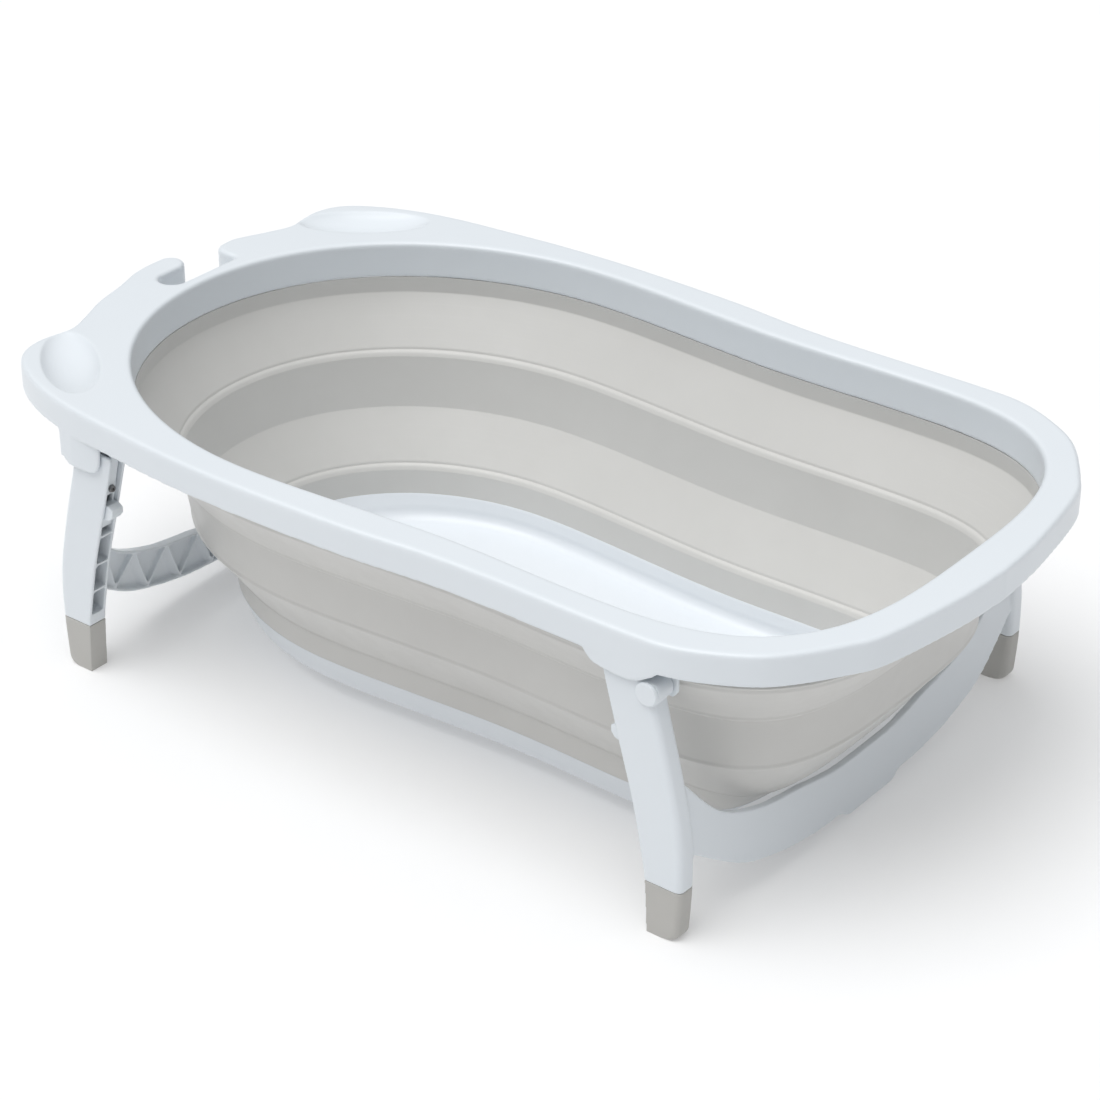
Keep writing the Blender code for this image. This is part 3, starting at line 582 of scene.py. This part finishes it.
def hinge_plates():
    """The tongues, cheeks and lugs that hang from the rim on both sides of every leg top."""
    tongue = spline([(0.2160, 0.2170), (0.2250, 0.2058), (0.2350, 0.2022),
                     (0.2600, 0.2010), (0.2760, 0.2085), (0.2860, 0.2170)], 8)
    tongue += [(0.2860, 0.2230), (0.2160, 0.2230)]
    cheek = spline([(-0.2880, 0.2160), (-0.2872, 0.1960), (-0.2800, 0.1868), (-0.2620, 0.1855),
                    (-0.2490, 0.1880), (-0.2432, 0.1980), (-0.2425, 0.2160)], 8)
    lug = [(0.2600, 0.2355), (0.2600, 0.1900), (0.2640, 0.1850),
           (0.2800, 0.1850), (0.2840, 0.1900), (0.2840, 0.2355)]
    end_wall = [(-0.2885, 0.1890), (-0.2858, 0.1890), (-0.2858, 0.2355), (-0.2885, 0.2355)]
    plates = []
    for side in (-1, 1):
        for name, outline, low, high in (
            ("tongue", tongue, 0.2272, 0.2302),
            ("foot_lug", lug, 0.2052, 0.2084),
            ("cheek", cheek, 0.2248, 0.2278),
            ("head_lug", [(-x - 0.001, z) for x, z in lug], 0.2030, 0.2060),
            ("end_wall", end_wall, 0.2040, 0.2268),
        ):
            span = (low, high) if side > 0 else (-high, -low)
            plates.append(prism(name, [outline], *span, "XZ"))
    return plates


def make_rim():
    """The rim: a hollow ring with a skirt, two dishes, a hook slot, cross ribs and hinge plates."""
    outer = rim_outline()
    wall_outer = moved_in(MOUTH, -RIM_WALL)
    far = 0.5
    around = [(-far, -far), (far, -far), (far, far), (-far, far)]
    rim = prism("rim_moulding", [outer, MOUTH], RIM_WALL_LOW - 0.006, RIM_TOP, round_edge=0.0034)
    rim = combine(rim, "DIFFERENCE", [
        prism("low_trim", [around], RIM_WALL_LOW - 0.02, RIM_WALL_LOW),
        prism("skirt_trim", [around, wall_outer], RIM_WALL_LOW - 0.03, SKIRT_LOW),
        prism("rim_hollow", [moved_in(outer, RIM_WALL), wall_outer],
              RIM_WALL_LOW - 0.03, RIM_TOP - RIM_PLATE),
    ])
    floors = []
    for side in (-1, 1):
        floor = dish_bowl(side, DISH_OUTSIDE, "dish_floor")
        trim = prism("dish_trim", [around], RIM_TOP - DISH_LIP, RIM_TOP + 0.1)
        floors.append(combine(floor, "DIFFERENCE", [trim]))
    rim = combine(rim, "UNION", [*floors, *rim_ribs(), *hinge_plates()])
    rim = combine(rim, "DIFFERENCE", [dish_bowl(side, DISH_INSIDE, "dish") for side in (-1, 1)])
    rim = combine(rim, "DIFFERENCE", [prism("outside", [around, outer], 0.15, 0.30)])
    rim = softened(rim, 0.00115, 7)
    dress(rim, WHITE, "rim_body", "rim")


# ---- basin -------------------------------------------------------------------------------------------

def finely_stepped(line, step):
    """The same line with a point about every step."""
    fine = []
    for start, end in zip(line, line[1:]):
        count = max(1, round(math.dist(start, end) / step))
        fine += [tuple(p + (q - p) * i / count for p, q in zip(start, end)) for i in range(count)]
    return [*fine, line[-1]]


def wall_line():
    """The wall from top to bottom as (distance in, height), with its folds rounded."""
    line = [WALL[0]]
    for before, corner, after in zip(WALL, WALL[1:], WALL[2:]):
        b, c, a = Vector(before), Vector(corner), Vector(after)
        to_b, to_a = (b - c).normalized(), (a - c).normalized()
        run = FOLD_RADIUS / math.tan(to_b.angle(to_a) / 2)
        first, last = c + to_b * run, c + to_a * run
        for i in range(9):
            t = i / 8
            line.append(tuple((1 - t) ** 2 * first + 2 * t * (1 - t) * c + t * t * last))
    line.append(WALL[-1])
    return finely_stepped(line, 0.0007)


def wall_faces():
    """The wall's inner and outer faces, with the fine beads that run round it beside its folds."""
    line = wall_line()
    lengths = [0.0]
    for a, b in zip(line, line[1:]):
        lengths.append(lengths[-1] + math.dist(a, b))
    folds = [lengths[min(range(len(line)), key=lambda i: math.dist(line[i], corner))] for corner in WALL]

    def raised(place, beads):
        return sum(tall * math.exp(-(((place - folds[fold] - past) / half) ** 2))
                   for fold, past, tall, half in beads)

    inner, outer = [], []
    last = len(line) - 1
    for i, (point, place) in enumerate(zip(line, lengths)):
        along = (Vector(line[min(i + 1, last)]) - Vector(line[max(i - 1, 0)])).normalized()
        outwards = Vector((along.y, -along.x))
        inner.append(Vector(point) + outwards * raised(place, INNER_BEADS))
        outer.append(Vector(point) + outwards * (SOFT_WALL + raised(place, OUTER_BEADS)))
    return inner, outer


def basin_rows(cage, levels):
    """A ring of vertices round the basin for each (distance, height)."""
    return [[cage.verts.new(point) for point in basin_ring(*level)] for level in levels]


def join_rows(cage, rows):
    """Faces between each ring of vertices and the next."""
    for upper, lower in zip(rows, rows[1:]):
        for i in range(STATIONS):
            j = (i + 1) % STATIONS
            cage.faces.new((upper[i], lower[i], lower[j], upper[j]))


def soft_wall(name, inner, outer):
    """A closed thin wall: down its inner face and back up its outer face."""
    cage = bmesh.new()
    rows = basin_rows(cage, [*inner, *reversed(outer)])
    join_rows(cage, [*rows, rows[0]])
    bmesh.ops.recalc_face_normals(cage, faces=cage.faces)
    return from_cage(name, cage)


def make_bellows():
    """The soft wall in two halves that meet in the middle band, each holding one of its folding webs."""
    inner, outer = wall_faces()
    seam_height = (WALL[2][1] + WALL[3][1]) / 2
    seam = next(i for i, level in enumerate(inner) if level.y <= seam_height)
    top = soft_wall("bellows_upper", inner[:seam + 1], outer[:seam + 1])
    dress(top, SOFT_GREY, None, "bellows_top_band", "bellows_upper_web", slot="grey_soft_rubber")
    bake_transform(top)
    base = soft_wall("bellows_lower", inner[seam:], outer[seam:])
    dress(base, SOFT_GREY, None, "bellows_middle_band", "bellows_lower_web", "bellows_bottom_band",
          slot="grey_soft_rubber")
    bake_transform(base)
    for half in (top, base):
        half.data.set_sharp_from_angle(angle=math.radians(60))


def make_tray():
    """The hard floor: a shallow dish with a lip, a rounded foot and a hole for the drain plug."""
    inner = [(0.0735, 0.0393), (0.0748, 0.0397)]
    inner += finely_stepped([(0.0752, 0.0390), (0.0768, 0.0300)], 0.002)
    inner += arc((0.0860, 0.0280), 0.0092, 180, 270, 10)
    outer = [(0.0722, 0.0390), (0.0722, 0.0378), (0.0727, 0.0372)]
    outer += finely_stepped([(0.0727, 0.0366), (0.0742, 0.0270)], 0.002)
    outer += arc((0.0850, 0.0268), 0.0108, 180, 270, 10)
    cage = bmesh.new()
    rows = basin_rows(cage, [*reversed(outer), *inner])
    join_rows(cage, rows)
    cage.faces.new(rows[0])
    cage.faces.new(rows[-1])
    bmesh.ops.recalc_face_normals(cage, faces=cage.faces)
    tray = from_cage("tray_moulding", cage)
    drain = Vector((DRAIN_X, 0, TRAY_FLOOR))
    hole = cylinder("drain_hole", drain, DRAIN_HOLE_RADIUS, 0.03, (0, 0, 1), 64)
    tray = combine(tray, "DIFFERENCE", [hole])
    dress(tray, TRAY_WHITE, "tray_body", "tray")
    tray.data.set_sharp_from_angle(angle=math.radians(35))


# ---- leg frames --------------------------------------------------------------------------------------

# The leg's edge towards the middle of the tub and its outer edge, carried on past its foot cap and its top.
leg_front = table_reader([(-0.020, 0.2756), (0.0, 0.2745), (LEG_TOP + LEG_PAST_TOP, 0.2352),
                          *[(z, x) for x, z in LEG_INNER_EDGE]])
leg_back = table_reader([(-0.020, 0.2993), (0.0, 0.3005), (LEG_TOP + LEG_PAST_TOP, 0.2685),
                         *[(z, x) for x, z in LEG_OUTER_EDGE]])
bar_top = table_reader(BAR_TOP)
bar_low = table_reader(BAR_LOW)


def facing(end, points):
    """Outline points for the foot end, or mirrored for the head end."""
    return list(points) if end == "foot" else [(-x, z) for x, z in points]


def toe_rise(z):
    """How far the outline draws in towards the floor, where a foot cap's toe curves up."""
    depth = min(max(TOE_RADIUS - z, 0.0), TOE_RADIUS)
    return TOE_RADIUS - math.sqrt(TOE_RADIUS ** 2 - depth ** 2)


def rounded_outside(end, low, high, near, far):
    """A piece of a leg between two heights: square towards the middle of the tub, well rounded outside."""
    mirror = 1 if end == "foot" else -1
    steps = 48
    cage = bmesh.new()
    rows = []
    for i in range(steps + 1):
        z = low + (high - low) * i / steps
        back = leg_back(z) - toe_rise(z) - LEG_ROUNDING
        section = [(leg_front(z), near)]
        section += arc((back, near + LEG_ROUNDING), LEG_ROUNDING, -90, 0, 8)
        section += arc((back, far - LEG_ROUNDING), LEG_ROUNDING, 0, 90, 8)
        section.append((leg_front(z), far))
        rows.append([cage.verts.new((mirror * x, y, z)) for x, y in section])
    for lower, upper in zip(rows, rows[1:]):
        for j in range(len(lower)):
            k = (j + 1) % len(lower)
            cage.faces.new((lower[j], lower[k], upper[k], upper[j]))
    cage.faces.new(rows[0])
    cage.faces.new(rows[-1])
    bmesh.ops.recalc_face_normals(cage, faces=cage.faces)
    return from_cage("leg", cage)


def make_leg(end, side):
    """One leg's shapes: a ribbed channel open towards the tub's middle, a spigot, a knuckle and a boss."""
    outer = LEG_OUTER_Y[end]
    inner = outer - LEG_THICK
    mirror = 1 if end == "foot" else -1

    def span(low, high):
        return (low, high) if side > 0 else (-high, -low)

    leg = rounded_outside(end, LEG_LOW, LEG_TOP, *span(inner, outer))
    open_front = 0.012
    channel = span(inner + LEG_SKIN, outer - LEG_SKIN)
    pockets = []
    for low, high in zip([z + RIB_THICK for z in RIB_HEIGHTS], [*RIB_HEIGHTS[1:], LEG_TOP + 0.01]):
        heights = [low + (min(high, LEG_TOP - 0.001) - low) * i / 8 for i in range(9)]
        back = [(leg_back(z) - LEG_SKIN, z) for z in heights]
        if high > LEG_TOP:
            back.append((back[-1][0], high))
        front = [(leg_front(heights[-1]) - open_front, high), (leg_front(low) - open_front, low)]
        pockets.append(prism("pocket", [facing(end, [*back, *front])], *channel, "XZ"))
    leg = combine(leg, "DIFFERENCE", pockets)
    middle_y = side * (inner + outer) / 2
    pivot = (mirror * PIVOT_X, middle_y, PIVOT_Z)
    boss = (mirror * BOSS_X, side * (outer - BOSS_DEEP), BOSS_Z)
    return [
        leg,
        prism("spigot", [facing(end, SPIGOT)], *span(inner + SPIGOT_IN, outer - SPIGOT_IN), "XZ"),
        cylinder("knuckle", pivot, KNUCKLE_RADIUS, LEG_THICK, (0, 1, 0)),
        cylinder("screw_boss", boss, BOSS_RADIUS, BOSS_LENGTH, (1, 0, 0)),
    ]


def bar_x(height):
    """The crossbar's outer face leans with the legs."""
    return BAR_FACE_X - BAR_LEAN * (height - BAR_LOW[0][1])


def bar_levels(y):
    """The crossbar's low and top edges at this place, with the finger grip's drop in the middle."""
    grip = GRIP_DROP * smoothstep((GRIP_HALF + GRIP_RAMP - abs(y)) / GRIP_RAMP)
    return bar_low(abs(y)) - grip, bar_top(abs(y))


def make_bar(end):
    """The crossbar: a curved channel that dips under the basin, open towards the middle of the tub."""
    mirror = 1 if end == "foot" else -1
    reach = LEG_OUTER_Y[end] - LEG_THICK + BAR_INTO_LEG
    flange = BAR_FLANGE[end]
    steps = 150
    cage = bmesh.new()
    lines = []
    for i in range(steps + 1):
        y = -reach + 2 * reach * i / steps
        low, top = bar_levels(y)
        heights = [low + (top - low) * share / 10 for share in range(11)]
        skin = [(bar_x(z), z) for z in heights]
        row = [(skin[0][0] - flange, low), *skin, (skin[-1][0] - flange, top)]
        lines.append([cage.verts.new((mirror * x, y, z)) for x, z in row])
    for left, right in zip(lines, lines[1:]):
        for i in range(len(left) - 1):
            corners = (left[i], left[i + 1], right[i + 1], right[i])
            cage.faces.new(corners if mirror > 0 else corners[::-1])
    bmesh.ops.recalc_face_normals(cage, faces=cage.faces)
    bar = from_cage("crossbar", cage)
    thickness = bar.modifiers.new("thickness", "SOLIDIFY")
    thickness.thickness = BAR_SKIN
    thickness.offset = -1.0
    thickness.use_even_offset = True
    return baked(bar, "crossbar")


def bar_truss(end):
    """Thin zigzag ribs inside the crossbar, between its two flanges."""
    mirror = 1 if end == "foot" else -1
    depth = BAR_FLANGE[end] - TRUSS_INSET
    stops = [TRUSS_REACH * (2 * i / TRUSS_RIBS - 1) for i in range(TRUSS_RIBS + 1)]
    ribs = []
    for i, (a, b) in enumerate(zip(stops, stops[1:])):
        ends = []
        for y, high in ((a, i % 2 == 0), (b, i % 2 == 1)):
            low, top = bar_levels(y)
            z = top - TRUSS_INSET if high else low + TRUSS_INSET
            ends.append(Vector((mirror * (bar_x(z) - depth / 2 - 0.0010), y, z)))
        run = ends[1] - ends[0]
        cage = bmesh.new()
        bmesh.ops.create_cube(cage, size=1.0)
        bmesh.ops.scale(cage, vec=(depth, TRUSS_THICK, run.length + 0.001), verts=cage.verts)
        turn = Vector((0, 0, 1)).rotation_difference(run).to_matrix().to_4x4()
        cage.transform(Matrix.Translation((ends[0] + ends[1]) / 2) @ turn)
        ribs.append(from_cage("truss_rib", cage))
    return ribs


def make_foot_cap(end, side):
    """A rubber foot that carries the leg's outline down to the floor."""
    outer = LEG_OUTER_Y[end]
    inner = outer - LEG_THICK
    near, far = (inner, outer) if side > 0 else (-outer, -inner)
    cap = rounded_outside(end, 0.0, LEG_LOW - CAP_GAP, near, far)
    pocket = prism("cap_pocket", [facing(end, CAP_POCKET)], near + CAP_POCKET_IN, far - CAP_POCKET_IN, "XZ")
    cap = softened(combine(cap, "DIFFERENCE", [pocket]), 0.0006, 3)
    corner = f"{end}_{'left' if side > 0 else 'right'}"
    cap.name = f"{corner}_foot_rubber"
    dress(cap, FOOT_GREY, f"{end}_legs", f"{corner}_foot_cap", slot="grey_foot_rubber")


def make_frame(end):
    """One leg frame, fused from its two legs and its crossbar, and its two rubber feet."""
    parts = [*make_leg(end, -1), *make_leg(end, 1), make_bar(end), *bar_truss(end)]
    moulded = softened(gathered(f"{end}_frame_moulding", parts), 0.00085, 4)
    dress(moulded, WHITE, f"{end}_legs", f"{end}_leg_frame")
    for side in (-1, 1):
        make_foot_cap(end, side)


# ---- small pieces ------------------------------------------------------------------------------------

def rounded_copy(node, voxel, passes):
    """A white CAD piece with its moulded edges rounded off."""
    body = frame["nodes"][node]["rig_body"]
    copy = new_object(f"{node}_moulding", frame["nodes"][node].data.copy())
    dress(softened(copy, voxel, passes), WHITE, body, node)


def finish_only(node, surface):
    """A CAD piece that keeps its own mesh and takes a finish."""
    materials = frame["nodes"][node].data.materials
    materials.clear()
    materials.append(surface)


def make_small_pieces():
    for end in ("foot", "head"):
        for side in ("left", "right"):
            corner = f"{end}_{side}"
            rounded_copy(f"{corner}_hinge_arm", 0.00035, 4)
            rounded_copy(f"{corner}_release_lever", 0.00045, 6)
            rounded_copy(f"{corner}_hinge_pin", 0.0004, 5)
            finish_only(f"{corner}_arm_screw", STEEL)
    rounded_copy("drain_plug", 0.0005, 5)
    finish_only("drain_seal", SEAL)


# ---- setting -----------------------------------------------------------------------------------------

def lit_paper(name):
    """Matte white paper with a little light behind it, which keeps the tub's shadow pale."""
    n = Nodes(name)
    tone = n.two_colours(n.spread(n.noise(2.0), 0.0, 1.0), (0.745, 0.745, 0.747), (0.735, 0.735, 0.737))
    n.link(tone, n.shader.inputs["Base Color"])
    n.set(Roughness=0.8, Specular_IOR_Level=0.2)
    n.set(Emission_Color=(1.0, 1.0, 1.0, 1.0), Emission_Strength=0.22)
    return n.material


def make_floor():
    """A broad plain white floor."""
    cage = bmesh.new()
    bmesh.ops.create_grid(cage, x_segments=2, y_segments=2, size=14.0)
    floor = from_cage("floor", cage)
    floor.data.materials.append(lit_paper("studio_floor"))


def make_light():
    """A pale sky, brighter from above than from below, and one broad soft light."""
    world = bpy.data.worlds.new("studio")
    world.use_nodes = True
    tree = world.node_tree
    background = tree.nodes["Background"]
    background.inputs["Color"].default_value = SKY_COLOUR
    place = tree.nodes.new("ShaderNodeTexCoord")
    direction = tree.nodes.new("ShaderNodeSeparateXYZ")
    rise = tree.nodes.new("ShaderNodeMapRange")
    rise.inputs["To Min"].default_value = SKY_BELOW
    rise.inputs["To Max"].default_value = SKY_ABOVE
    tree.links.new(place.outputs["Generated"], direction.inputs["Vector"])
    tree.links.new(direction.outputs["Z"], rise.inputs["Value"])
    tree.links.new(rise.outputs["Result"], background.inputs["Strength"])
    bpy.context.scene.world = world
    bpy.context.scene.view_settings.view_transform = "Standard"
    data = bpy.data.lights.new("broad_softbox", "SUN")
    data.energy = SOFTBOX_STRENGTH
    data.angle = math.radians(SOFTBOX_ANGLE)
    light = bpy.data.objects.new("broad_softbox", data)
    light.rotation_euler = Vector(SOFTBOX_DIRECTION).to_track_quat("-Z", "Y").to_euler()
    SCENE.objects.link(light)


def make_camera():
    data = bpy.data.cameras.new("camera")
    data.sensor_width = CAMERA_SENSOR
    data.lens = CAMERA_LENS
    data.clip_start = 0.05
    camera = bpy.data.objects.new("camera", data)
    camera.location = CAMERA_PLACE
    camera.rotation_euler = Vector(CAMERA_DIRECTION).to_track_quat("-Z", "Y").to_euler()
    SCENE.objects.link(camera)
    bpy.context.scene.camera = camera


make_rim()
make_bellows()
make_tray()
for which in ("foot", "head"):
    make_frame(which)
make_small_pieces()
make_floor()
make_light()
make_camera()
